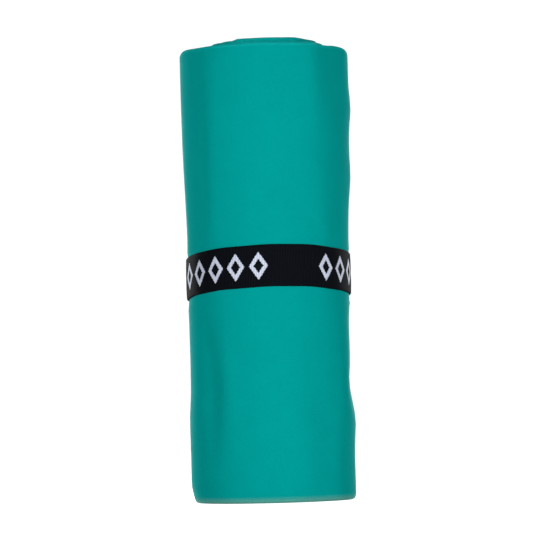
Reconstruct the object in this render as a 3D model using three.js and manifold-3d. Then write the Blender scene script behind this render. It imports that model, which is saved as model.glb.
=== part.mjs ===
// Quick-dry travel towel: one microfibre sheet, folded lengthwise in three like a letter,
// rolled up from one short end and held by a woven elastic band. Millimetres, +Z up.
// The roll stands on end. The origin is under the middle of it, on the surface it stands on.
import * as THREE from "three";
import { mergeVertices } from "three/addons/utils/BufferGeometryUtils.js";
import Module from "manifold-3d";

const wasm = await Module();
wasm.setup();

// The sheet and its fold
const sheetLength = 1500; // rolled up along this
const sheetWidth = 750; // folded in three
const plyThickness = 1.0;
const plyGap = 0.3; // between plies, and between one turn and the next
const foldBevel = 0.7; // the eased corners of a fold
const topEdgeDrop = 3; // the first side's edge, below the top fold
const bottomEdgeRise = 3; // the second side's edge, above the bottom fold

// The roll
const coreRadius = 7; // the hole left down the middle
const outerEndAngle = 15; // degrees round from +X towards +Y, where the sheet's outer end lies
const coreRise = 5; // how far the inner turns stand above the outer ones
const riseStartRadius = 36; // turns inside this radius start to rise
const riseFullRadius = 26; // turns inside this radius have risen fully
const stepsPerTurn = 24;

// Hem threads, laid in shallow channels of the cloth
const hemWidth = 8; // from the cloth's edge to its line of stitching
const threadWidth = 0.8;
const threadThickness = 0.35;
const clearance = 0.3; // between pieces that touch

// The care label, sewn to the inner end's hem
const labelWidth = 16;
const labelHeight = 32;
const labelThickness = 0.3;
const labelBottom = 150; // above the bottom of the turn that carries it

// The elastic band
const bandWidth = 23;
const bandThickness = 1.4;
const bandEdgeBevel = 0.3;
const bandMiddle = 125.5; // height of its middle on the axis of the roll
const bandFrontRise = 3.1; // it rides this much higher at the front than on the axis
const bandRightRise = 0.5; // and this much higher at the right
const lapAngle = 90; // degrees, where its two ends are lapped and sewn
const lapLength = 16;
const boxStitchMargin = 3; // from the lap's edges to the box of stitching
const boxStitchWidth = 0.9;

// Everything below is worked out from the sizes above.
const rollHeight = sheetWidth / 3;
const stackThickness = 3 * plyThickness + 2 * plyGap;
const pitch = stackThickness + plyGap;
const channelDepth = threadThickness + clearance;
const channelWidth = threadWidth + 2 * clearance;
const startRadius = coreRadius + stackThickness / 2;
const endRadius = Math.sqrt(startRadius ** 2 + (sheetLength * pitch) / Math.PI);
const fullTurn = 2 * Math.PI;
const endAngle = THREE.MathUtils.degToRad(outerEndAngle);
const startAngle = endAngle - ((endRadius - startRadius) * fullTurn) / pitch;
const stepAngle = fullTurn / stepsPerTurn;

// The middle of the three plies at an angle of the true spiral.
const spiralRadius = (angle) => endRadius - ((endAngle - angle) * pitch) / fullTurn;

// The same on the flats, which run straight from each whole step of the spiral to the next.
function rollRadius(angle) {
  const from = Math.floor(angle / stepAngle + 1e-9) * stepAngle;
  const to = from + stepAngle;
  const near = spiralRadius(from);
  const far = spiralRadius(to);
  const share = near * Math.sin(angle - from) + far * Math.sin(to - angle);
  return (near * far * Math.sin(stepAngle)) / share;
}

// How far the turn at this radius has slid up.
const turnRise = (radius) =>
  coreRise * (1 - THREE.MathUtils.smoothstep(radius, riseFullRadius, riseStartRadius));

// Angles from one end to the other, with the whole steps between them, so that the flats of
// every turn, and of what lies on it, face the same way.
function anglesBetween(from, to) {
  const angles = [from];
  for (let step = Math.ceil(from / stepAngle); step * stepAngle < to; step += 1) {
    const angle = step * stepAngle;
    if (angle - from > stepAngle / 5 && to - angle > stepAngle / 5) angles.push(angle);
  }
  return [...angles, to];
}

const onRoll = (angle) => ({ angle, radius: rollRadius(angle), rise: turnRise(rollRadius(angle)) });

// Carries an outline round the axis. Each point is (outward, up), anticlockwise, and each
// station says at what angle, radius and rise the outline stands.
function sweep(outline, stations, closed = false) {
  const count = outline.length;
  const positions = [];
  for (const { angle, radius, rise } of stations) {
    for (const point of outline) {
      const reach = radius + point.x;
      positions.push(reach * Math.cos(angle), reach * Math.sin(angle), point.y + rise);
    }
  }
  const faces = [];
  const spans = closed ? stations.length : stations.length - 1;
  for (let i = 0; i < spans; i += 1) {
    const here = i * count;
    const next = ((i + 1) % stations.length) * count;
    for (let j = 0; j < count; j += 1) {
      const k = (j + 1) % count;
      faces.push(here + j, next + j, next + k, here + j, next + k, here + k);
    }
  }
  if (!closed) {
    const last = (stations.length - 1) * count;
    for (const [a, b, c] of THREE.ShapeUtils.triangulateShape(outline, [])) {
      faces.push(a, b, c, last + a, last + c, last + b);
    }
  }
  const geometry = new THREE.BufferGeometry();
  geometry.setAttribute("position", new THREE.Float32BufferAttribute(positions, 3));
  geometry.setIndex(faces);
  return geometry;
}

const at = (outward, up) => new THREE.Vector2(outward, up);

const block = (inner, outer, bottom, top) => [
  at(inner, bottom),
  at(outer, bottom),
  at(outer, top),
  at(inner, top),
];

function toSolid(geometry) {
  const bare = geometry.clone();
  bare.deleteAttribute("normal");
  bare.deleteAttribute("uv");
  const merged = mergeVertices(bare, 1e-5);
  const vertProperties = new Float32Array(merged.attributes.position.array);
  const triVerts = new Uint32Array(merged.index.array);
  return new wasm.Manifold(new wasm.Mesh({ numProp: 3, vertProperties, triVerts }));
}

function toGeometry(solid) {
  const mesh = solid.getMesh();
  const geometry = new THREE.BufferGeometry();
  geometry.setAttribute("position", new THREE.BufferAttribute(mesh.vertProperties, 3));
  geometry.setIndex(new THREE.BufferAttribute(mesh.triVerts, 1));
  return geometry;
}

const joined = (geometries) =>
  toGeometry(geometries.map(toSolid).reduce((whole, piece) => whole.add(piece)));

const cut = (geometry, cutters) =>
  toGeometry(cutters.map(toSolid).reduce((whole, tool) => whole.subtract(tool), toSolid(geometry)));

// Faces of the three plies, measured outward from the middle of the stack. The first side
// lies innermost, the second side in the middle, and the sheet's middle third outermost.
const firstInner = -stackThickness / 2;
const firstOuter = firstInner + plyThickness;
const secondInner = firstOuter + plyGap;
const secondOuter = secondInner + plyThickness;
const thirdInner = secondOuter + plyGap;
const thirdOuter = stackThickness / 2;

const topEdge = rollHeight - topEdgeDrop;
const bottomEdge = plyThickness + bottomEdgeRise;
const firstStitchLine = topEdge - hemWidth;
const secondStitchLine = bottomEdge + hemWidth;

// A channel in the inner face of a ply, for a thread that runs round the roll at this height.
const channelAt = (face, height) => [
  at(face, height - channelWidth / 2),
  at(face + channelDepth, height - channelWidth / 2),
  at(face + channelDepth, height + channelWidth / 2),
  at(face, height + channelWidth / 2),
];

// The folded sheet seen on end: the bottom fold wraps round the second side's edge, and the
// top fold joins the second side to the middle third.
function foldedOutline() {
  return [
    at(firstInner + foldBevel, 0),
    at(thirdOuter - foldBevel, 0),
    at(thirdOuter, foldBevel),
    at(thirdOuter, rollHeight - foldBevel),
    at(thirdOuter - foldBevel, rollHeight),
    at(secondInner + foldBevel, rollHeight),
    at(secondInner, rollHeight - foldBevel),
    ...channelAt(secondInner, secondStitchLine).reverse(),
    at(secondInner, bottomEdge),
    at(secondOuter, bottomEdge),
    at(secondOuter, rollHeight - plyThickness),
    at(thirdInner, rollHeight - plyThickness),
    at(thirdInner, plyThickness),
    at(firstOuter, plyThickness),
    at(firstOuter, topEdge),
    at(firstInner, topEdge),
    ...channelAt(firstInner, firstStitchLine).reverse(),
    at(firstInner, foldBevel),
  ];
}

const clothStations = anglesBetween(startAngle, endAngle).map(onRoll);

// Where the line of stitching stands on the outermost face, back from the sheet's outer end.
const outerFace = (angle) => rollRadius(angle) + thirdOuter;
const outerStitchAngle = endAngle - hemWidth / outerFace(endAngle);
const innerStitchAngle = startAngle + hemWidth / coreRadius;

// Stations across a width that is centred on an angle of the spiral.
function acrossAngle(angle, width, radius) {
  const half = width / radius / 2;
  return anglesBetween(angle - half, angle + half).map(onRoll);
}

const stitchBottom = hemWidth / 2;
const stitchTop = rollHeight - hemWidth / 2;

function towelCloth() {
  const channel = block(
    thirdOuter - channelDepth,
    thirdOuter + clearance,
    stitchBottom - clearance,
    stitchTop + clearance,
  );
  const outerChannel = sweep(channel, acrossAngle(outerStitchAngle, channelWidth, endRadius));
  return cut(sweep(foldedOutline(), clothStations), [outerChannel]);
}

// A thread that runs the sheet's whole length, flush with the inner face of its ply.
function sideHemThread(face, height) {
  const half = threadWidth / 2;
  const outline = block(face, face + threadThickness, height - half, height + half);
  const from = startAngle + clearance / startRadius;
  const to = endAngle - clearance / endRadius;
  return sweep(outline, anglesBetween(from, to).map(onRoll));
}

function outerHemThread() {
  const outline = block(thirdOuter - threadThickness, thirdOuter, stitchBottom, stitchTop);
  return sweep(outline, acrossAngle(outerStitchAngle, threadWidth, endRadius));
}

// The inner end's thread stands in the hole down the middle, against the first turn.
function innerHemThread() {
  const face = firstInner - clearance;
  const outline = block(face - threadThickness, face, stitchBottom, topEdge - hemWidth / 2);
  return sweep(outline, acrossAngle(innerStitchAngle, threadWidth, coreRadius));
}

// The label curls round the hole from the line of stitching that holds its edge.
function careLabel() {
  const face = firstInner - clearance;
  const outline = block(face - labelThickness, face, labelBottom, labelBottom + labelHeight);
  const from = innerStitchAngle + (threadWidth / 2 + clearance) / coreRadius;
  return sweep(outline, anglesBetween(from, from + labelWidth / coreRadius).map(onRoll));
}

// The line that a stretched band takes round the roll: the hull of the outermost turn.
function hullOfRoll() {
  const corners = anglesBetween(endAngle - fullTurn + stepAngle / 4, endAngle).map((angle) => {
    const radius = outerFace(angle);
    return at(radius * Math.cos(angle), radius * Math.sin(angle));
  });
  corners.sort((a, b) => a.x - b.x || a.y - b.y);
  const halfHull = (points) => {
    const kept = [];
    for (const point of points) {
      while (kept.length > 1) {
        const [before, last] = kept.slice(-2);
        const turn = last.clone().sub(before).cross(point.clone().sub(before));
        if (turn > 0) break;
        kept.pop();
      }
      kept.push(point);
    }
    return kept.slice(0, -1);
  };
  return [...halfHull(corners), ...halfHull(corners.reverse())];
}

const hull = hullOfRoll();

// How far out the band's line is at an angle.
function hullRadius(angle) {
  const ray = at(Math.cos(angle), Math.sin(angle));
  let radius = 0;
  hull.forEach((from, index) => {
    const edge = hull[(index + 1) % hull.length].clone().sub(from);
    const along = ray.cross(from) / -ray.cross(edge);
    const reach = from.clone().addScaledVector(edge, along).dot(ray);
    if (along >= -1e-9 && along <= 1 + 1e-9) radius = Math.max(radius, reach);
  });
  return radius;
}

// The band stands on its line, tipped a little with the front higher.
function onBand(angle) {
  const radius = hullRadius(angle) + clearance;
  const x = radius * Math.cos(angle);
  const y = radius * Math.sin(angle);
  const tip = (bandRightRise * x - bandFrontRise * y) / endRadius;
  return { angle, radius, rise: bandMiddle + tip };
}

const lapMiddle = THREE.MathUtils.degToRad(lapAngle);
const lapHalf = lapLength / endRadius / 2;

function bandOutline(inner, thickness) {
  const half = bandWidth / 2;
  const outer = inner + thickness;
  return [
    at(inner, -half),
    at(outer - bandEdgeBevel, -half),
    at(outer, -half + bandEdgeBevel),
    at(outer, half - bandEdgeBevel),
    at(outer - bandEdgeBevel, half),
    at(inner, half),
  ];
}

// One strip whose ends are lapped and sewn, so it is twice as thick there.
function elasticBand() {
  const whole = hull.map((corner) => corner.angle()).sort((a, b) => a - b);
  const ring = sweep(bandOutline(0, bandThickness), whole.map(onBand), true);
  const rootedBy = bandThickness / 2;
  const lapStations = anglesBetween(lapMiddle - lapHalf, lapMiddle + lapHalf).map(onBand);
  const lap = sweep(bandOutline(rootedBy, 2 * bandThickness - rootedBy), lapStations);
  return joined([ring, lap]);
}

// The box of stitching that holds the lap: two runs round the band, joined by three across it.
function lapStitching() {
  const inner = 2 * bandThickness + clearance;
  const outer = inner + threadThickness;
  const half = bandWidth / 2 - boxStitchMargin;
  const reach = lapHalf - boxStitchMargin / endRadius;
  const round = anglesBetween(lapMiddle - reach, lapMiddle + reach).map(onBand);
  const runs = [-half, half - boxStitchWidth].map((bottom) =>
    sweep(block(inner, outer, bottom, bottom + boxStitchWidth), round),
  );
  const halfStitch = boxStitchWidth / endRadius / 2;
  const across = [-1, 0, 1].map((side) => {
    const middle = lapMiddle + side * (reach - halfStitch);
    const stations = anglesBetween(middle - halfStitch, middle + halfStitch).map(onBand);
    return sweep(block(inner, outer, -half, half), stations);
  });
  return joined([...runs, ...across]);
}

const finish = (color, roughness) => new THREE.MeshStandardMaterial({ color, roughness, metalness: 0 });
const cloth = finish(0x009892, 0.95);
const clothThread = finish(0x00827d, 0.8);
const labelSatin = finish(0xf2f2ee, 0.5);
const elastic = finish(0x0b1015, 0.75);
const bandThread = finish(0x1a2026, 0.7);

const towel = new THREE.Group();

// The outer turn grows towards its end, so the roll is set back by half of what it is wider
// on one side than on the other.
towel.position.set(
  (hullRadius(Math.PI) - hullRadius(0)) / 2,
  (hullRadius(fullTurn * 0.75) - hullRadius(fullTurn * 0.25)) / 2,
  0,
);

function addPiece(name, geometry, material) {
  const piece = new THREE.Mesh(geometry, material);
  piece.name = name;
  towel.add(piece);
}

addPiece("towel_cloth", towelCloth(), cloth);
addPiece("first_side_hem_thread", sideHemThread(firstInner, firstStitchLine), clothThread);
addPiece("second_side_hem_thread", sideHemThread(secondInner, secondStitchLine), clothThread);
addPiece("outer_end_hem_thread", outerHemThread(), clothThread);
addPiece("inner_end_hem_thread", innerHemThread(), clothThread);
addPiece("care_label", careLabel(), labelSatin);
addPiece("elastic_band", elasticBand(), elastic);
addPiece("band_lap_stitching", lapStitching(), bandThread);

export default towel;
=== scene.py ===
import math

import bpy
import numpy as np
from mathutils import Matrix, Vector


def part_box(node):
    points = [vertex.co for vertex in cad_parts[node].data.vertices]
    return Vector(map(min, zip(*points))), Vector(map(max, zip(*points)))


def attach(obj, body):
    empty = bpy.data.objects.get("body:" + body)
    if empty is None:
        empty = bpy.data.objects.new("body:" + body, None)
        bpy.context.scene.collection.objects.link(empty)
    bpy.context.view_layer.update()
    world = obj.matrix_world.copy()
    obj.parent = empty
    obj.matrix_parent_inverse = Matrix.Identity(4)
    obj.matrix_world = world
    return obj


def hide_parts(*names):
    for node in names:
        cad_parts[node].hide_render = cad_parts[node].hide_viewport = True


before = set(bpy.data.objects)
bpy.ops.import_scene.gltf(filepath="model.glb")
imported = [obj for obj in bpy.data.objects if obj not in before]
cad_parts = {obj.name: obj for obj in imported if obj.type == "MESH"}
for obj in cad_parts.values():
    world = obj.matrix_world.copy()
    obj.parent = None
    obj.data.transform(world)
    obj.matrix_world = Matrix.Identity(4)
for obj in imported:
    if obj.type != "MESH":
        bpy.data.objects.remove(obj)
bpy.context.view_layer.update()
mm = 0.001


# helpers
def ease(x, low, high):
    # 0 up to low, 1 from high, smooth between, on numbers or arrays
    t = np.clip((np.asarray(x, float) - low) / (high - low), 0.0, 1.0)
    return t * t * (3.0 - 2.0 * t)


def hump(x, middle, reach):
    return np.exp(-((np.asarray(x, float) - middle) / reach) ** 2)


def meshObject(name, points, faces, material, uvs=None, uvName="weave", smooth=True):
    mesh = bpy.data.meshes.new(name)
    mesh.from_pydata([tuple(p) for p in points], [], [tuple(f) for f in faces])
    mesh.validate()
    if uvs is not None:
        layer = mesh.uv_layers.new(name=uvName)
        corners = np.empty(len(mesh.loops), dtype=np.int32)
        mesh.loops.foreach_get("vertex_index", corners)
        layer.data.foreach_set("uv", np.asarray(uvs, np.float32)[corners].ravel())
    if smooth:
        mesh.polygons.foreach_set("use_smooth", [True] * len(mesh.polygons))
    mesh.materials.append(material)
    piece = bpy.data.objects.new(name, mesh)
    bpy.context.collection.objects.link(piece)
    return piece


# shader maths
class Wire:
    # one socket of a material, with the arithmetic that the finishes use

    def __init__(self, tree, socket):
        self.tree = tree
        self.socket = socket

    def sums(self, operation, *others):
        return self.tree.node("ShaderNodeMath", {"operation": operation}, {
            index: value for index, value in enumerate([self, *others])})

    def __add__(self, other):
        return self.sums("ADD", other)

    def __sub__(self, other):
        return self.sums("SUBTRACT", other)

    def __mul__(self, other):
        return self.sums("MULTIPLY", other)

    def __truediv__(self, other):
        return self.sums("DIVIDE", other)

    def __mod__(self, other):
        return self.sums("FLOORED_MODULO", other)

    def __rsub__(self, other):
        return self.tree.node("ShaderNodeMath", {"operation": "SUBTRACT"}, {0: other, 1: self})

    __radd__ = __add__
    __rmul__ = __mul__

    def clear(self, low, high):
        # 0 below low, 1 above high
        return self.tree.node("ShaderNodeMapRange", {"interpolation_type": "SMOOTHSTEP"}, {
            "Value": self, "From Min": low, "From Max": high})


class Finish:
    # a material and its node tree; node() makes any node and returns its first output

    def __init__(self, name):
        self.material = bpy.data.materials.new(name)
        self.material.use_nodes = True
        self.tree = self.material.node_tree
        self.shader = self.tree.nodes["Principled BSDF"]

    def node(self, kind, settings=None, inputs=None, output=0):
        made = self.tree.nodes.new(kind)
        for key, value in (settings or {}).items():
            if key == "stops":
                ramp = made.color_ramp.elements
                while len(ramp) < len(value):
                    ramp.new(0.5)
                for element, (place, colour) in zip(ramp, value):
                    element.position = place
                    element.color = (*colour, 1.0)
            else:
                setattr(made, key, value)
        for key, value in (inputs or {}).items():
            self.put(made.inputs[key], value)
        return Wire(self, made.outputs[output])

    def put(self, socket, value):
        if isinstance(value, Wire):
            self.tree.links.new(value.socket, socket)
        elif isinstance(value, (tuple, list)) and len(value) == 3 and socket.type == "RGBA":
            socket.default_value = (*value, 1.0)
        else:
            socket.default_value = value

    def place(self):
        return self.node("ShaderNodeTexCoord", output="Object")

    def weave(self, name="weave"):
        return self.node("ShaderNodeUVMap", {"uv_map": name})

    def parts(self, vector):
        split = self.tree.nodes.new("ShaderNodeSeparateXYZ")
        self.put(split.inputs[0], vector)
        return [Wire(self, split.outputs[i]) for i in range(3)]

    def noise(self, vector, scale, detail=2.0, roughness=0.5):
        return self.node("ShaderNodeTexNoise", {}, {
            "Vector": vector, "Scale": scale, "Detail": detail, "Roughness": roughness})

    def blend(self, share, low, high):
        return self.node("ShaderNodeMix", {"data_type": "RGBA"}, {0: share, 6: low, 7: high}, 2)

    def bump(self, height, distance, strength=1.0, under=None):
        inputs = {"Height": height, "Distance": distance, "Strength": strength}
        if under is not None:
            inputs["Normal"] = under
        return self.node("ShaderNodeBump", {}, inputs)

    def finish(self, **sockets):
        for name, value in sockets.items():
            self.put(self.shader.inputs[name.replace("_", " ")], value)
        return self.material


# the roll, in metres and radians
roll = {
    "sheetLength": 1.5,
    "sheetWidth": 0.75,
    "ply": 1.0 * mm,
    "plyStep": 1.3 * mm,        # from one ply's middle to the next
    "turnStep": 3.9 * mm,       # from one turn to the next
    "coreRadius": 7.0 * mm,
    "outerEnd": math.radians(15),
    "firstEdgeDrop": 3.0 * mm,  # the first side's edge, below the top fold
    "secondEdgeRise": 6.0 * mm,
    "rise": 5.0 * mm,           # how far the inner turns stand above the outer ones
    "riseStart": 36 * mm,       # radius where they begin to rise, and where the rise is full
    "riseFull": 26 * mm,
    "hem": 8.0 * mm,
}

rollHeight = roll["sheetWidth"] / 3
stackHalf = roll["plyStep"] + roll["ply"] / 2
startRadius = roll["coreRadius"] + stackHalf
endRadius = math.sqrt(startRadius ** 2 + roll["sheetLength"] * roll["turnStep"] / math.pi)
turns = (endRadius - startRadius) / roll["turnStep"]
startAngle = roll["outerEnd"] - turns * 2 * math.pi


def stackRadius(angle):
    # the middle of the folded sheet's three plies
    return endRadius - (roll["outerEnd"] - angle) * roll["turnStep"] / (2 * math.pi)


def outerFace(angle):
    return stackRadius(angle) + stackHalf


clothLow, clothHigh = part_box("towel_cloth")
bandLow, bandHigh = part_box("elastic_band")
axisX = clothHigh[0] - outerFace(0.0)
axisY = clothLow[1] + outerFace(-math.pi / 2)

band = {
    "width": 23 * mm,
    "thick": 1.4 * mm,
    "clearance": 0.08 * mm,
    "middle": 125.5 * mm,
    "frontRise": 3.1 * mm,
    "rightRise": 0.5 * mm,
    "droop": 1.1 * mm,          # both sides hang a little below the plane of the rest
    "press": 0.4 * mm,          # it pulls in this much more at the right
    "crown": 0.35 * mm,         # its edges press in more than its middle
    "slideDown": 110 * mm,      # how far its joint lets it down the roll
    "lapAt": math.radians(90),
    "lapLength": 16 * mm,
    "lapGap": 0.08 * mm,
}


def bandHeight(angle):
    # height of the band's middle round the roll: it rides higher at the front
    plane = band["middle"] + band["rightRise"] * np.cos(angle) - band["frontRise"] * np.sin(angle)
    return plane - band["droop"] * np.cos(angle) ** 2


def fromFront(angle):
    # degrees round from the front, growing towards the right
    return (np.degrees(angle) + 90 + 180) % 360 - 180


def bandPress(angle):
    return band["press"] * hump(fromFront(angle), 92, 40)


room = {
    "proud": 0.32 * mm,         # how far the band stands out of the cloth at the foot
    "hem": 0.3 * mm,            # the thicker hem of the free end lies this much deeper
    "soft": 0.1 * mm,
    "above": 22 * mm,           # the cloth eases out over this height above the band
}


def bandRoom(angle, height, out):
    # holds the cloth in where the band comes to lie when it is slid down to the foot
    around = fromFront(angle)
    atHem = room["hem"] * ease(around, 91, 96) * (1 - ease(around, 106, 111))
    most = band["thick"] + band["clearance"] - room["proud"] - bandPress(angle) - atHem
    held = most - room["soft"] * np.log1p(np.exp((most - out) / room["soft"]))
    top = bandHeight(angle) - band["slideDown"] + band["width"] / 2
    return out + (held - out) * ease(top - height, -room["above"], -1 * mm)


# how the cloth lies
cloth = {
    "topSwell": 2.15 * mm,      # the roll opens out above the band
    "footSwell": 1.35 * mm,     # and again near its foot
    "swellFrom": 132 * mm,
    "swellTo": 226 * mm,
    "flare": 1.75 * mm,         # the free end stands off below the band
    "footFrom": 64 * mm,
    "footTo": 43 * mm,
    "coreRise": 1.3 * mm,       # the innermost turns stand higher still
    "ripple": 0.16 * mm,
    "bandDip": 0.15 * mm,       # the band presses in this far
    "bandPuff": 0.35 * mm,      # and the cloth stands out beside it
    "seed": 7,
}

# soft swells and hollows: degrees round from the front towards the right, height,
# reach round and up, lean in degrees per metre, and how far out
softShapes = [
    (88, 219, 17, 8, 0, 0.85),
    (88, 179, 17, 10, 0, 0.75),
    (90, 199, 14, 7, 0, -0.1),
    (92, 92, 22, 28, 0, -0.65),
    (90, 65, 20, 9, 0, -1.1),
    (-90, 96, 30, 30, 0, 0.35),
    (-92, 62, 26, 12, 0, 0.25),
    (-40, 185, 8, 50, 60, 1.0),
    (-57, 185, 12, 50, 60, -0.75),
    (-50, 93, 3.2, 14, -330, -0.60),
    (-41, 92, 7, 22, -330, 0.45),
    (-31, 55, 7, 46, -40, 1.1),
    (-45, 55, 9, 46, -40, -1.0),
    (-62, 60, 9, 46, 0, 0.8),
    (35, 238, 8, 26, 0, 1.3),
    (60, 238, 10, 26, 0, -1.3),
    (42, 150, 9, 45, 0, 0.4),
    (62, 62, 12, 56, 0, 1.5),
    (33, 60, 16, 50, 0, -0.6),
    (10, 60, 30, 30, 0, -0.2),
]


def ripples(angle, height):
    # long soft waves that close on themselves round the roll
    source = np.random.default_rng(cloth["seed"])
    total = np.zeros(np.broadcast(angle, height).shape)
    for around, up in [(2, 9), (3, 21), (5, 14), (7, 37), (9, 26), (12, 52), (15, 33)]:
        phase, lean = source.uniform(0, 2 * math.pi, 2)
        wave = np.sin(around * angle + phase + 1.3 * np.sin(up * height + lean))
        total += wave * np.cos(up * height * 1.7 + lean) / math.sqrt(around)
    return cloth["ripple"] * total


def footCrease(height):
    # where the outer layer folds away near the foot, in degrees round from the front
    return 63 + np.clip((0.056 - height) / 0.044, 0, 1) * 8


def swell(angle, height, radius):
    # how far the cloth stands out from the plain spiral
    around = fromFront(angle)
    top = cloth["topSwell"] * ease(height, cloth["swellFrom"], cloth["swellTo"]) ** 0.8
    foot = ease(-height, -cloth["footFrom"], -cloth["footTo"])
    tuck = 1 - 0.85 * ease(-height, -14 * mm, -1 * mm) ** 2     # draws in towards the fold
    crease = footCrease(height)
    held = ease(around, 20, 45) * (1 - ease(around, 100, 150))  # where the flare takes over
    out = top + cloth["footSwell"] * foot * tuck * (1 - 0.95 * held)
    flare = ease(around, 36, 88) * (1 - ease(around, 105.5, 135))
    flare = cloth["flare"] * flare * (0.85 + 0.15 * tuck) - 0.22 * mm * hump(around, crease, 7)
    out = out + flare * ease(-height, -61 * mm, -38 * mm)
    out = out - 0.7 * mm * hump(around, -85, 35) * ease(-height, -13 * mm, -1 * mm)
    for at, up, reach, tall, lean, far in softShapes:
        middle = at + lean * (height - up * mm)
        away = (around - middle + 180) % 360 - 180
        upward = (height - up * mm) / (tall * mm)
        out = out + far * mm * np.exp(-(away / reach) ** 2 - upward ** 2)
    out = bandRoom(angle, height, out + ripples(angle, height))
    gap = np.abs(height - bandHeight(angle)) - band["width"] / 2    # past the band's edge
    free = ease(gap, -1.5 * mm, 9 * mm)
    out = out * free - (cloth["bandDip"] + bandPress(angle)) * (1 - ease(gap, -1.5 * mm, 3 * mm))
    out = out + cloth["bandPuff"] * hump(gap, 4.5 * mm, 3.4 * mm)
    return out * (radius / endRadius) ** 1.6


def turnLift(angle, radius):
    # inner turns have slid up as the sheet was rolled
    around = fromFront(angle)
    wider = 1.4 * mm * hump(around, 60, 35)
    share = 1 - ease(radius, roll["riseFull"] + wider, roll["riseStart"] + wider)
    slipped = 1.0 * mm * ease(-around, 27, 34) * (1 - ease(-around, 100, 160))
    slipped = slipped * ease(radius, 21 * mm, 25 * mm)
    core = cloth["coreRise"] * (1 - ease(radius, 12 * mm, 17 * mm))
    return (roll["rise"] - slipped) * share + core


def edgeLift(angle, radius, height):
    # unevenness of the folded edges, most of it at the top
    around = fromFront(angle)
    outermost = ease(radius, endRadius - 4.6 * mm, endRadius - 3.0 * mm)
    dip = 0.5 * ease(around, 37, 42) * (1 - ease(around, 50, 60)) - 0.3 * hump(around, 33, 4)
    dip = dip + 2.1 * hump(around, 92, 14) - 0.5 * hump(around, -68, 14)
    dip = dip + 0.9 * hump(around, -86, 9)
    source = np.random.default_rng(cloth["seed"] + 1)
    wave = np.zeros(np.shape(angle))
    for pace in (1.7, 2.9, 4.3, 7.1, 10.3):
        wave = wave + np.sin(pace * angle + source.uniform(0, 2 * math.pi)) / pace ** 0.5
    top = ease(height, 0.72 * rollHeight, rollHeight)
    return (-dip * mm * outermost + 0.22 * mm * wave * (1 - 0.6 * outermost)) * top


def foldLine():
    # the sheet across its width: first side's edge, bottom fold, middle third, top fold,
    # second side's edge, as outward and up from the middle of the stack
    step, ply = roll["plyStep"], roll["ply"]
    footHigh = 3.4 * mm
    footUp = footHigh + ply / 2
    topDown = rollHeight - ply / 2 - step / 2
    firstTop = rollHeight - roll["firstEdgeDrop"]
    edge = [0.0, 0.0004, 0.0012, 0.005]
    rows = [(-step, firstTop - e) for e in edge]
    rows += [(-step, z) for z in np.linspace(firstTop - 0.03, footUp + 0.012, 6)]
    rows += [(-step, z) for z in np.linspace(footUp + 0.006, footUp, 2)]
    for turn in np.linspace(0, math.pi, 9)[1:-1]:
        rows.append((-step * math.cos(turn), footUp - footHigh * math.sin(turn)))
    rows += [(step, z) for z in footUp + 0.012 * np.linspace(0, 1, 5) ** 1.3]
    rows += [(step, z) for z in np.linspace(footUp + 0.018, topDown - 0.012, 34)]
    rows += [(step, z) for z in topDown - 0.007 * np.linspace(1, 0, 4)]
    for turn in np.linspace(0, math.pi, 8)[1:-1]:
        rows.append((step / 2 + step / 2 * math.cos(turn), topDown + step / 2 * math.sin(turn)))
    rows += [(0.0, z) for z in np.linspace(topDown, topDown - 0.012, 3)]
    rows += [(0.0, z) for z in np.linspace(topDown - 0.05, roll["secondEdgeRise"] + 0.02, 5)]
    rows += [(0.0, roll["secondEdgeRise"] + e) for e in reversed(edge)]
    return np.array(rows)


def sheetPoint(angle, out, up):
    # a point of the rolled sheet: angle along the roll, out and up across the fold
    base = stackRadius(angle)
    radius = base + out
    lifted = up + turnLift(angle, base) + edgeLift(angle, base, up)
    far = radius + swell(angle, up, radius)
    return np.stack([axisX + far * np.cos(angle), axisY + far * np.sin(angle), lifted], axis=-1)


def gridNormals(points):
    along = np.gradient(points, axis=0)
    across = np.gradient(points, axis=1)
    normal = np.cross(along, across)
    return normal / np.linalg.norm(normal, axis=-1, keepdims=True)


def closedSheet(points, half):
    # a cloth with two faces and rounded rims from a grid of middle points
    rows, columns = points.shape[:2]
    normal = gridNormals(points)
    faces = []
    corner = np.arange(rows * columns).reshape(rows, columns)
    front = points + normal * half[..., None]
    back = points - normal * half[..., None]
    other = corner + rows * columns
    a, b, c, d = corner[:-1, :-1], corner[1:, :-1], corner[1:, 1:], corner[:-1, 1:]
    faces += np.stack([a, b, c, d], -1).reshape(-1, 4).tolist()
    a, b, c, d = (x + rows * columns for x in (a, b, c, d))
    faces += np.stack([d, c, b, a], -1).reshape(-1, 4).tolist()
    rim = [*corner[:-1, 0], *corner[-1, :-1], *corner[:0:-1, -1], *corner[0, :0:-1]]
    for one, two in zip(rim, rim[1:] + rim[:1]):
        faces.append([one, two, two + rows * columns, one + rows * columns][::-1])
    return np.concatenate([front.reshape(-1, 3), back.reshape(-1, 3)]), faces


def rollAngles():
    # fewer steps in the hidden turns, more in the outer two, and fine ones at the outer hem
    hemStart = roll["outerEnd"] - 1.6 * roll["hem"] / endRadius
    outerStart = roll["outerEnd"] - 2.3 * 2 * math.pi
    inner = np.linspace(startAngle, outerStart, 300, endpoint=False)
    outer = np.linspace(outerStart, hemStart, 236, endpoint=False)
    return np.concatenate([inner, outer, np.linspace(hemStart, roll["outerEnd"], 26)])


# finishes
foldWay = foldLine()
foldRun = np.concatenate([[0], np.cumsum(np.hypot(*np.diff(foldWay, axis=0).T))])
creases = {
    # where the folds lie across the sheet, and how far round them light is painted: a painted
    # reflection of the pale floor, paler and greyer, under the foot fold, and a painted highlight
    # along the top fold's crest
    "foot": float(foldRun[foldWay[:, 1].argmin()]),
    "top": float(foldRun[foldWay[:, 1].argmax()]),
    "footReach": 4.1 * mm,
    "topReach": 2.4 * mm,
}


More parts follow.
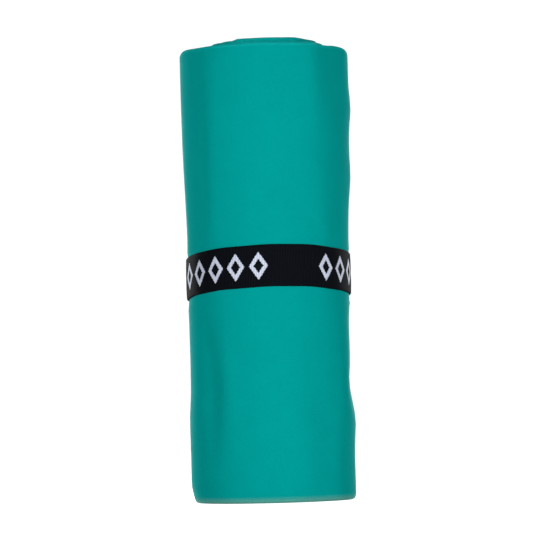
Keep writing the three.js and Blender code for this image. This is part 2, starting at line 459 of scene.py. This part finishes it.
def microfibre():
    made = Finish("microfibre")
    place = made.place()
    sheet = made.weave()
    nap = made.noise(sheet, 420, 3, 0.6)
    fibre = made.noise(sheet, 1500, 2, 0.5)
    mottle = made.noise(place, 95, 3, 0.6)
    brushed = made.noise(place, 17, 2, 0.5)
    shade = mottle * 0.3 + brushed * 0.4 + nap * 0.3
    deep = made.blend(shade.clear(0.3, 0.7), (0.0, 0.282, 0.266), (0.0, 0.312, 0.297))
    plain = made.blend(fibre.clear(0.35, 0.75) * 0.22, deep, (0.004, 0.39, 0.37))
    across = made.parts(sheet)[0]
    # painted light: the foot fold's underside is painted paler and greyer as a painted reflection
    # of the pale floor, and the top fold's crest gets a thin painted highlight
    footAway = (across - creases["foot"]).sums("ABSOLUTE")
    topAway = (across - creases["top"]).sums("ABSOLUTE")
    footPaintedReflection = 1.0 - footAway.clear(0.0, creases["footReach"])
    topPaintedHighlight = 1.0 - topAway.clear(0.2 * mm, creases["topReach"])
    withTopHighlight = made.blend(topPaintedHighlight * 0.35, plain, (0.01, 0.46, 0.44))
    colour = made.blend(footPaintedReflection * 0.9, withTopHighlight, (0.125, 0.36, 0.30))
    ruffled = made.bump(nap * 0.7 + mottle * 0.3, 0.25 * mm, 0.55)
    normal = made.bump(fibre, 0.12 * mm, 0.6, ruffled)
    return made.finish(
        Base_Color=colour, Roughness=0.95, Normal=normal, Specular_IOR_Level=0.0,
        Sheen_Weight=0.31, Sheen_Roughness=0.22, Sheen_Tint=(0.42, 1.0, 0.97))


def sewingThread(name, colour, pale):
    made = Finish(name)
    place = made.place()
    strand = made.noise(place, 2600, 1)
    tone = made.blend(strand.clear(0.3, 0.7), colour, pale)
    return made.finish(
        Base_Color=tone, Roughness=0.62, Normal=made.bump(strand, 0.06 * mm, 0.5),
        Sheen_Weight=0.25, Sheen_Roughness=0.4)


labelPick = 0.5236 * mm         # from one thread of the satin to the next


def satinLabel():
    made = Finish("label_satin")
    across, along, _ = made.parts(made.weave())
    threads = (along * (2 * math.pi / labelPick)).sums("SINE")
    tone = made.blend(threads.clear(-0.5, 1.0), (0.78, 0.78, 0.75), (0.9, 0.9, 0.87))
    return made.finish(
        Base_Color=tone, Roughness=0.45, Normal=made.bump(threads, 0.05 * mm, 0.4),
        Sheen_Weight=0.2)


motif = {
    "repeat": 92.2 * mm,        # a group of figures and the plain gap after it
    "group": 65 * mm,
    "figure": 13 * mm,          # one figure's share of the band
    "start": -63 * mm,          # where the group left of the front's middle begins
    "halfWide": 5.2 * mm,
    "halfTall": 7.6 * mm,
    "hollow": 0.52,
    "thread": 0.45 * mm,        # the woven step of a figure's edges
    "rib": 0.9 * mm,            # from one crosswise rib to the next
    "warp": 0.5 * mm,           # from one lengthwise thread to the next
}


def wovenElastic():
    made = Finish("woven_elastic")
    along, across, _ = made.parts(made.weave())
    thread = motif["thread"]
    snapX, snapY = ((way + 0.5 * thread).sums("SNAP", thread) for way in (along, across))
    inGroup = (snapX - motif["start"]) % motif["repeat"]
    inFigure = inGroup % motif["figure"] - 0.5 * motif["figure"]
    wide, tall = inFigure.sums("ABSOLUTE"), snapY.sums("ABSOLUTE")
    lozenge = wide / motif["halfWide"] + tall / motif["halfTall"]
    outline = lozenge.sums("LESS_THAN", 1.0) * lozenge.sums("GREATER_THAN", motif["hollow"])
    shown = outline * inGroup.sums("LESS_THAN", motif["group"])
    rib = (along * (2 * math.pi / motif["rib"])).sums("SINE")
    warp = (across * (2 * math.pi / motif["warp"])).sums("SINE")
    fuzz = made.noise(made.weave(), 1800, 2)
    weaveHeight = rib * 0.3 + warp * 0.25 + fuzz * 0.4
    # the ribs' grooves are painted darker, painted shade, on the black and on the white figures;
    # fuzz and warp vary the tone at random
    ribShadeAndTone = rib * 0.35 + fuzz * 0.5 + warp * 0.1
    black = made.blend(ribShadeAndTone.clear(-0.1, 0.6), (0.0009, 0.0013, 0.0022), (0.0055, 0.007, 0.011))
    whiteRibShadeAndTone = (rib * 0.5 + fuzz * 0.5).clear(0.0, 0.7)
    white = made.blend(whiteRibShadeAndTone, (0.46, 0.50, 0.62), (0.72, 0.76, 0.88))
    colour = made.blend(shown, black, white)
    return made.finish(
        Base_Color=colour, Roughness=0.85 - shown * 0.2,
        Normal=made.bump(weaveHeight + shown * 0.6, 0.12 * mm, 0.6),
        Specular_IOR_Level=0.04)


print("making finishes")
microfibreFinish = microfibre()
hemThreadFinish = sewingThread("hem_thread", (0.0, 0.20, 0.185), (0.0, 0.30, 0.28))
bandThreadFinish = sewingThread("band_thread", (0.012, 0.014, 0.018), (0.035, 0.04, 0.048))
labelFinish = satinLabel()
elasticFinish = wovenElastic()


# stitches, by geometry nodes
def stitchTree():
    tree = bpy.data.node_groups.new("stitches", "GeometryNodeTree")
    face = tree.interface
    face.new_socket("Path", in_out="INPUT", socket_type="NodeSocketGeometry")
    for name, value in [("Pitch", 3 * mm), ("Stitch", 2.5 * mm), ("Thread", 0.5 * mm)]:
        face.new_socket(name, in_out="INPUT", socket_type="NodeSocketFloat").default_value = value
    face.new_socket("Finish", in_out="INPUT", socket_type="NodeSocketMaterial")
    face.new_socket("Stitches", in_out="OUTPUT", socket_type="NodeSocketGeometry")
    new, link = tree.nodes.new, tree.links.new
    given, result = new("NodeGroupInput"), new("NodeGroupOutput")
    path = new("GeometryNodeMeshToCurve")
    link(given.outputs["Path"], path.inputs["Mesh"])
    spots = new("GeometryNodeCurveToPoints")
    spots.mode = "LENGTH"
    link(path.outputs["Curve"], spots.inputs["Curve"])
    link(given.outputs["Pitch"], spots.inputs["Length"])
    bead = new("GeometryNodeMeshUVSphere")
    bead.inputs["Segments"].default_value = 6
    bead.inputs["Rings"].default_value = 5
    bead.inputs["Radius"].default_value = 0.5
    size = new("ShaderNodeCombineXYZ")
    link(given.outputs["Thread"], size.inputs["X"])
    link(given.outputs["Thread"], size.inputs["Y"])
    link(given.outputs["Stitch"], size.inputs["Z"])
    shaped = new("GeometryNodeTransform")
    link(bead.outputs["Mesh"], shaped.inputs["Geometry"])
    link(size.outputs["Vector"], shaped.inputs["Scale"])
    placed = new("GeometryNodeInstanceOnPoints")
    link(spots.outputs["Points"], placed.inputs["Points"])
    link(shaped.outputs["Geometry"], placed.inputs["Instance"])
    link(spots.outputs["Rotation"], placed.inputs["Rotation"])
    real = new("GeometryNodeRealizeInstances")
    link(placed.outputs["Instances"], real.inputs["Geometry"])
    smooth = new("GeometryNodeSetShadeSmooth")
    link(real.outputs["Geometry"], smooth.inputs["Geometry"])
    finished = new("GeometryNodeSetMaterial")
    link(smooth.outputs["Geometry"], finished.inputs["Geometry"])
    link(given.outputs["Finish"], finished.inputs["Material"])
    link(finished.outputs["Geometry"], result.inputs["Stitches"])
    return tree


stitches = stitchTree()
socketOf = {item.name: item.identifier for item in stitches.interface.items_tree
            if item.in_out == "INPUT"}


def stitchRow(name, runs, sizes, finish):
    # sews along each run of points and returns one plain mesh of stitches
    points = [tuple(p) for run in runs for p in run]
    edges = []
    first = 0
    for run in runs:
        edges += [(first + i, first + i + 1) for i in range(len(run) - 1)]
        first += len(run)
    guide = bpy.data.meshes.new(name + "Guide")
    guide.from_pydata(points, edges, [])
    sewer = bpy.data.objects.new(name + "Guide", guide)
    bpy.context.collection.objects.link(sewer)
    modifier = sewer.modifiers.new("stitches", "NODES")
    modifier.node_group = stitches
    for label, value in sizes.items():
        modifier[socketOf[label]] = value
    modifier[socketOf["Finish"]] = finish
    bpy.context.view_layer.update()
    sewn = sewer.evaluated_get(bpy.context.evaluated_depsgraph_get())
    mesh = bpy.data.meshes.new_from_object(sewn)
    mesh.name = name
    piece = bpy.data.objects.new(name, mesh)
    bpy.context.collection.objects.link(piece)
    bpy.data.objects.remove(sewer)
    return piece


# the sheet itself
def rolledSheet():
    angles = rollAngles()
    fold = foldWay
    grid = sheetPoint(angles[:, None], fold[None, :, 0], fold[None, :, 1])
    half = np.full(grid.shape[:2], roll["ply"] / 2)
    fromEnd = (roll["outerEnd"] - angles) * endRadius
    underBand = 1 - ease(np.abs(fold[:, 1] - band["middle"]) - band["width"] / 2, 1 * mm, 8 * mm)
    outerPly = (fold[:, 0] > 0.9 * roll["plyStep"]).astype(float)
    hemThick = 0.28 * mm * (1 - ease(fromEnd, 0.9 * roll["hem"], 1.25 * roll["hem"]))
    hemThick -= 0.22 * mm * hump(fromEnd, roll["hem"], 0.9 * mm)
    half += hemThick[:, None] * (outerPly * (1 - underBand))[None, :]
    rim = np.array([0.4, 0.8])
    half[:, :2] *= rim
    half[:, -2:] *= rim[::-1]
    half[:2, :] *= rim[:, None]
    half[-2:, :] *= rim[::-1][:, None]
    points, faces = closedSheet(grid, half)
    length = np.concatenate([[0], np.cumsum(np.diff(angles) * stackRadius(angles[1:]))])
    uv = np.stack(np.meshgrid(foldRun, length), -1).reshape(-1, 2)
    return meshObject("rolled_sheet", points, faces, microfibreFinish, np.concatenate([uv, uv]))


print("rolling the sheet")
sheet = rolledSheet()

# the elastic band
def hullRadius():
    # the line that a stretched band takes round the outermost turn, as a table by angle
    angles = np.linspace(roll["outerEnd"] - 2 * math.pi + 1e-4, roll["outerEnd"], 721)
    far = outerFace(angles)
    points = np.stack([far * np.cos(angles), far * np.sin(angles)], -1)
    looks = np.linspace(-math.pi, math.pi, 1441)
    directions = np.stack([np.cos(looks), np.sin(looks)], -1)
    support = (directions @ points.T).max(axis=1)
    reach = []
    for way in directions:
        facing = directions @ way
        near = facing > 0.2
        reach.append((support[near] / facing[near]).min())
    return looks, np.array(reach)


hullLooks, hullReach = hullRadius()


def onHull(angle):
    wrapped = (np.asarray(angle) + math.pi) % (2 * math.pi) - math.pi
    return np.interp(wrapped, hullLooks, hullReach)


ribs = {"pitch": motif["rib"], "high": 0.09 * mm, "perRib": 4, "edgeCord": 0.12 * mm}


def bandSection():
    # across the strip, anticlockwise: outward from the inner face, and up from the middle
    half, thick = band["width"] / 2, band["thick"]
    soft = thick / 2
    across = np.linspace(-half + soft, half - soft, 15)
    outer = [(thick, z) for z in across]
    inner = [(0.0, z) for z in across[::-1]]
    turn = np.linspace(0, math.pi, 7)[1:-1]
    top = [(soft + soft * math.cos(t), half - soft + soft * math.sin(t)) for t in turn]
    low = [(soft - soft * math.cos(t), -half + soft - soft * math.sin(t)) for t in turn]
    return np.array(outer + top + inner + low)


def elasticStrip():
    section = bandSection()
    lap = band["lapLength"] / endRadius
    begin = band["lapAt"] - 2 * math.pi - lap / 2
    finish = band["lapAt"] + lap / 2
    strip = (finish - begin) * (endRadius + 2.5 * mm)
    count = int(strip / ribs["pitch"] * ribs["perRib"])
    angles = np.linspace(begin, finish, count)
    climb = ease(angles, finish - 2.1 * lap, finish - 1.25 * lap)
    radius = onHull(angles) + band["clearance"] - bandPress(angles)
    radius = radius + climb * (band["thick"] + band["lapGap"])
    arc = np.concatenate([[0], np.cumsum(np.diff(angles) * (radius[1:] + band["thick"]))])
    front = np.interp(-math.pi / 2, angles, arc)
    arc = arc - front
    wave = np.abs(np.sin(math.pi * arc / ribs["pitch"])) ** 0.7
    isOuter = section[:, 0] > 0.9 * band["thick"]
    isInner = section[:, 0] < 0.1 * band["thick"]
    outward = np.where(isOuter, 1.0, np.where(isInner, -1.0, 0.3))
    lift = ribs["high"] * (wave[:, None] - 1.0) * outward
    atCord = hump(np.abs(section[:, 1]), band["width"] / 2 - 1.1 * mm, 0.8 * mm)
    cord = ribs["edgeCord"] * (atCord - 0.5)
    crown = band["crown"] * np.abs(section[:, 1] / (band["width"] / 2)) ** 4
    out = section[:, 0] - crown + lift + (cord * isOuter)[None, :]
    waver = 0.12 * mm * np.sin(5 * angles + 1.0) + 0.08 * mm * np.sin(11 * angles)
    up = section[:, 1][None, :] + (bandHeight(angles) + waver)[:, None]
    far = radius[:, None] + out
    points = np.stack([
        axisX + far * np.cos(angles)[:, None], axisY + far * np.sin(angles)[:, None], up], -1)
    rows, columns = far.shape
    corner = np.arange(rows * columns).reshape(rows, columns)
    after = np.roll(corner, -1, axis=1)
    faces = np.stack([corner[:-1], corner[1:], after[1:], after[:-1]], -1).reshape(-1, 4).tolist()
    faces.append(corner[0].tolist())
    faces.append(corner[-1].tolist()[::-1])
    uv = np.stack([np.repeat(arc, columns), np.tile(section[:, 1], rows)], -1)
    return meshObject("elastic_strip", points.reshape(-1, 3), faces, elasticFinish, uv)


print("weaving the band")
elastic = elasticStrip()


# stitching and label
def sheetRun(angles, out, up):
    spread = np.broadcast_arrays(angles, out, up)
    return sheetPoint(*[np.asarray(x, float) for x in spread])


hemStitch = {"Pitch": 3.0 * mm, "Stitch": 2.7 * mm, "Thread": 0.5 * mm}
lapStitch = {"Pitch": 2.2 * mm, "Stitch": 2.1 * mm, "Thread": 0.5 * mm}


def hemStitches():
    step, ply = roll["plyStep"], roll["ply"]
    along = np.linspace(startAngle + 0.2, roll["outerEnd"] - 0.03, 1100)
    firstUp = rollHeight - roll["firstEdgeDrop"] - roll["hem"]
    secondUp = roll["secondEdgeRise"] + roll["hem"]
    upright = np.linspace(3 * mm, rollHeight - 3 * mm, 90)
    outerAt = roll["outerEnd"] - roll["hem"] / endRadius
    innerAt = startAngle + roll["hem"] / startRadius
    face = ply / 2 - 0.05 * mm
    rows = [
        ("first_side_hem_stitches", along, -step - face, firstUp),
        ("second_side_hem_stitches", along, -face, secondUp),
        ("outer_end_hem_stitches", outerAt, step + face - 0.02 * mm, upright),
        ("inner_end_hem_stitches", innerAt, -step - face, upright),
    ]
    return [stitchRow(name, [sheetRun(angles, out, up)], hemStitch, hemThreadFinish)
            for name, angles, out, up in rows]


def lapStitches():
    lapHalf = band["lapLength"] / endRadius / 2 - 3 * mm / endRadius
    half = band["width"] / 2 - 3 * mm
    far = 2 * band["thick"] + band["clearance"] + band["lapGap"]

    def spot(side, height):
        angle = band["lapAt"] + side
        radius = onHull(angle) + far
        return (axisX + radius * math.cos(angle), axisY + radius * math.sin(angle),
                bandHeight(angle) + height)

    sides = np.linspace(-lapHalf, lapHalf, 12)
    runs = [[spot(s, z) for s in sides] for z in (-half, half)]
    runs += [[spot(s, z) for z in np.linspace(-half, half, 12)] for s in (-lapHalf, 0.0, lapHalf)]
    return stitchRow("band_lap_stitches", runs, lapStitch, bandThreadFinish)


label = {"wide": 16 * mm, "tall": 32 * mm, "thick": 0.3 * mm, "bottom": 150 * mm, "gap": 0.5 * mm}


def careLabel():
    start = startAngle + (roll["hem"] + 1.0 * mm) / roll["coreRadius"]
    angles = np.linspace(start, start + label["wide"] / roll["coreRadius"], 26)
    ups = label["bottom"] + np.linspace(0, label["tall"], 18)
    out = -stackHalf - label["gap"]
    grid = sheetPoint(angles[:, None], np.full((1, len(ups)), out), ups[None, :])
    curl = 0.5 * mm * ease(angles, angles[-8], angles[-1])
    inward = grid[..., :2] - np.array([axisX, axisY])
    inward /= np.linalg.norm(inward, axis=-1, keepdims=True)
    grid[..., :2] -= inward * curl[:, None, None]
    points, faces = closedSheet(grid, np.full(grid.shape[:2], label["thick"] / 2))
    uv = np.stack(np.meshgrid(ups, (angles - start) * roll["coreRadius"]), -1).reshape(-1, 2)
    return meshObject("blank_care_label", points, faces, labelFinish, np.concatenate([uv, uv]))


print("sewing the hems, the lap and the label")
firstHem, secondHem, outerHem, innerHem = hemStitches()
lapSewing = lapStitches()
tag = careLabel()


# what stands for what
for piece in (sheet, firstHem, secondHem, outerHem, innerHem, tag):
    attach(piece, "rolled_towel")
for piece in (elastic, lapSewing):
    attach(piece, "band")
for piece, node, slot in [
        (sheet, "towel_cloth", "microfibre"),
        (firstHem, "first_side_hem_thread", "hem_thread"),
        (secondHem, "second_side_hem_thread", "hem_thread"),
        (outerHem, "outer_end_hem_thread", "hem_thread"),
        (innerHem, "inner_end_hem_thread", "hem_thread"),
        (tag, "care_label", "label_satin"),
        (elastic, "elastic_band", "woven_elastic"),
        (lapSewing, "band_lap_stitching", "band_thread")]:
    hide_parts(node)


# floor, light and camera
stage = {"reach": 30.0, "drop": 0.1 * mm, "colour": (0.8, 0.8, 0.8), "seenGlow": 1.0, "glow": 0.1}


def floorPlane():
    made = Finish("pale_floor")
    grain = made.noise(made.place(), 6, 2)
    tone = made.blend(grain, stage["colour"], tuple(c * 1.02 for c in stage["colour"]))
    seen = made.node("ShaderNodeLightPath")
    glow = made.blend(seen, (stage["glow"],) * 3, (stage["seenGlow"],) * 3)
    made.finish(Base_Color=tone, Roughness=0.9, Specular_IOR_Level=0.1, Emission_Color=glow,
                Emission_Strength=1.0)
    reach = stage["reach"]
    corners = [(-reach, -reach), (reach, -reach), (reach, reach), (-reach, reach)]
    points = [(x, y, -stage["drop"]) for x, y in corners]
    return meshObject("floor", points, [(0, 1, 2, 3)], made.material, smooth=False)


lamps = [
    # name, from, size, watts
    ("frontLamp", (0.06, -2.1, 0.2), (0.6, 0.9), 44.5),
    ("lowLamp", (0.1, -0.32, 0.06), (0.14, 0.1), 0.1),
    ("topLamp", (0.0, 0.35, 2.0), (1.0, 0.7), 6.0),
    ("backLeftLamp", (-1.3, 1.65, 0.1), (0.6, 0.8), 70.0),
    ("backRightLamp", (1.2, 1.7, 0.1), (0.5, 0.9), 42.0),
]


def addLamps():
    aim = Vector((0, 0, 0.12))
    for name, start, size, watts in lamps:
        light = bpy.data.lights.new(name, "AREA")
        light.shape = "RECTANGLE"
        light.size, light.size_y = size
        light.energy = watts
        lamp = bpy.data.objects.new(name, light)
        lamp.location = start
        lamp.rotation_euler = (aim - Vector(start)).to_track_quat("-Z", "Y").to_euler()
        lamp.visible_camera = False
        bpy.context.collection.objects.link(lamp)


def paleWorld():
    world = bpy.data.worlds.new("paleWorld")
    bpy.context.scene.world = world
    world.use_nodes = True
    new, link = world.node_tree.nodes.new, world.node_tree.links.new
    seen, ribShadeAndTone = new("ShaderNodeBackground"), world.node_tree.nodes["Background"]
    seen.inputs["Color"].default_value = (1, 1, 1, 1)
    seen.inputs["Strength"].default_value = 1.05
    ribShadeAndTone.inputs["Color"].default_value = (1, 1, 1, 1)
    ribShadeAndTone.inputs["Strength"].default_value = 0.07
    path, pick = new("ShaderNodeLightPath"), new("ShaderNodeMixShader")
    link(path.outputs["Is Camera Ray"], pick.inputs["Fac"])
    link(ribShadeAndTone.outputs["Background"], pick.inputs[1])
    link(seen.outputs["Background"], pick.inputs[2])
    link(pick.outputs["Shader"], world.node_tree.nodes["World Output"].inputs["Surface"])


camera = {
    "away": 1.6,
    "height": 48 * mm,
    "aimRight": 3.4 * mm,
    "aimUp": 125.4 * mm,
    "lens": 188.3,
    "tilt": 1.46,               # degrees; the top leans left
}


def addCamera():
    data = bpy.data.cameras.new("camera")
    data.lens = camera["lens"]
    data.sensor_width = 36.0
    made = bpy.data.objects.new("camera", data)
    start = Vector((camera["aimRight"], -camera["away"], camera["height"]))
    aim = Vector((camera["aimRight"], 0, camera["aimUp"]))
    turn = (aim - start).to_track_quat("-Z", "Y").to_matrix()
    turn = turn @ Matrix.Rotation(math.radians(-camera["tilt"]), 3, "Z")
    made.location = start
    made.rotation_euler = turn.to_euler()
    bpy.context.collection.objects.link(made)
    bpy.context.scene.camera = made


print("setting the stage")
floor = floorPlane()
addLamps()
paleWorld()
addCamera()
bpy.context.scene.view_settings.view_transform = "Standard"

print("done")
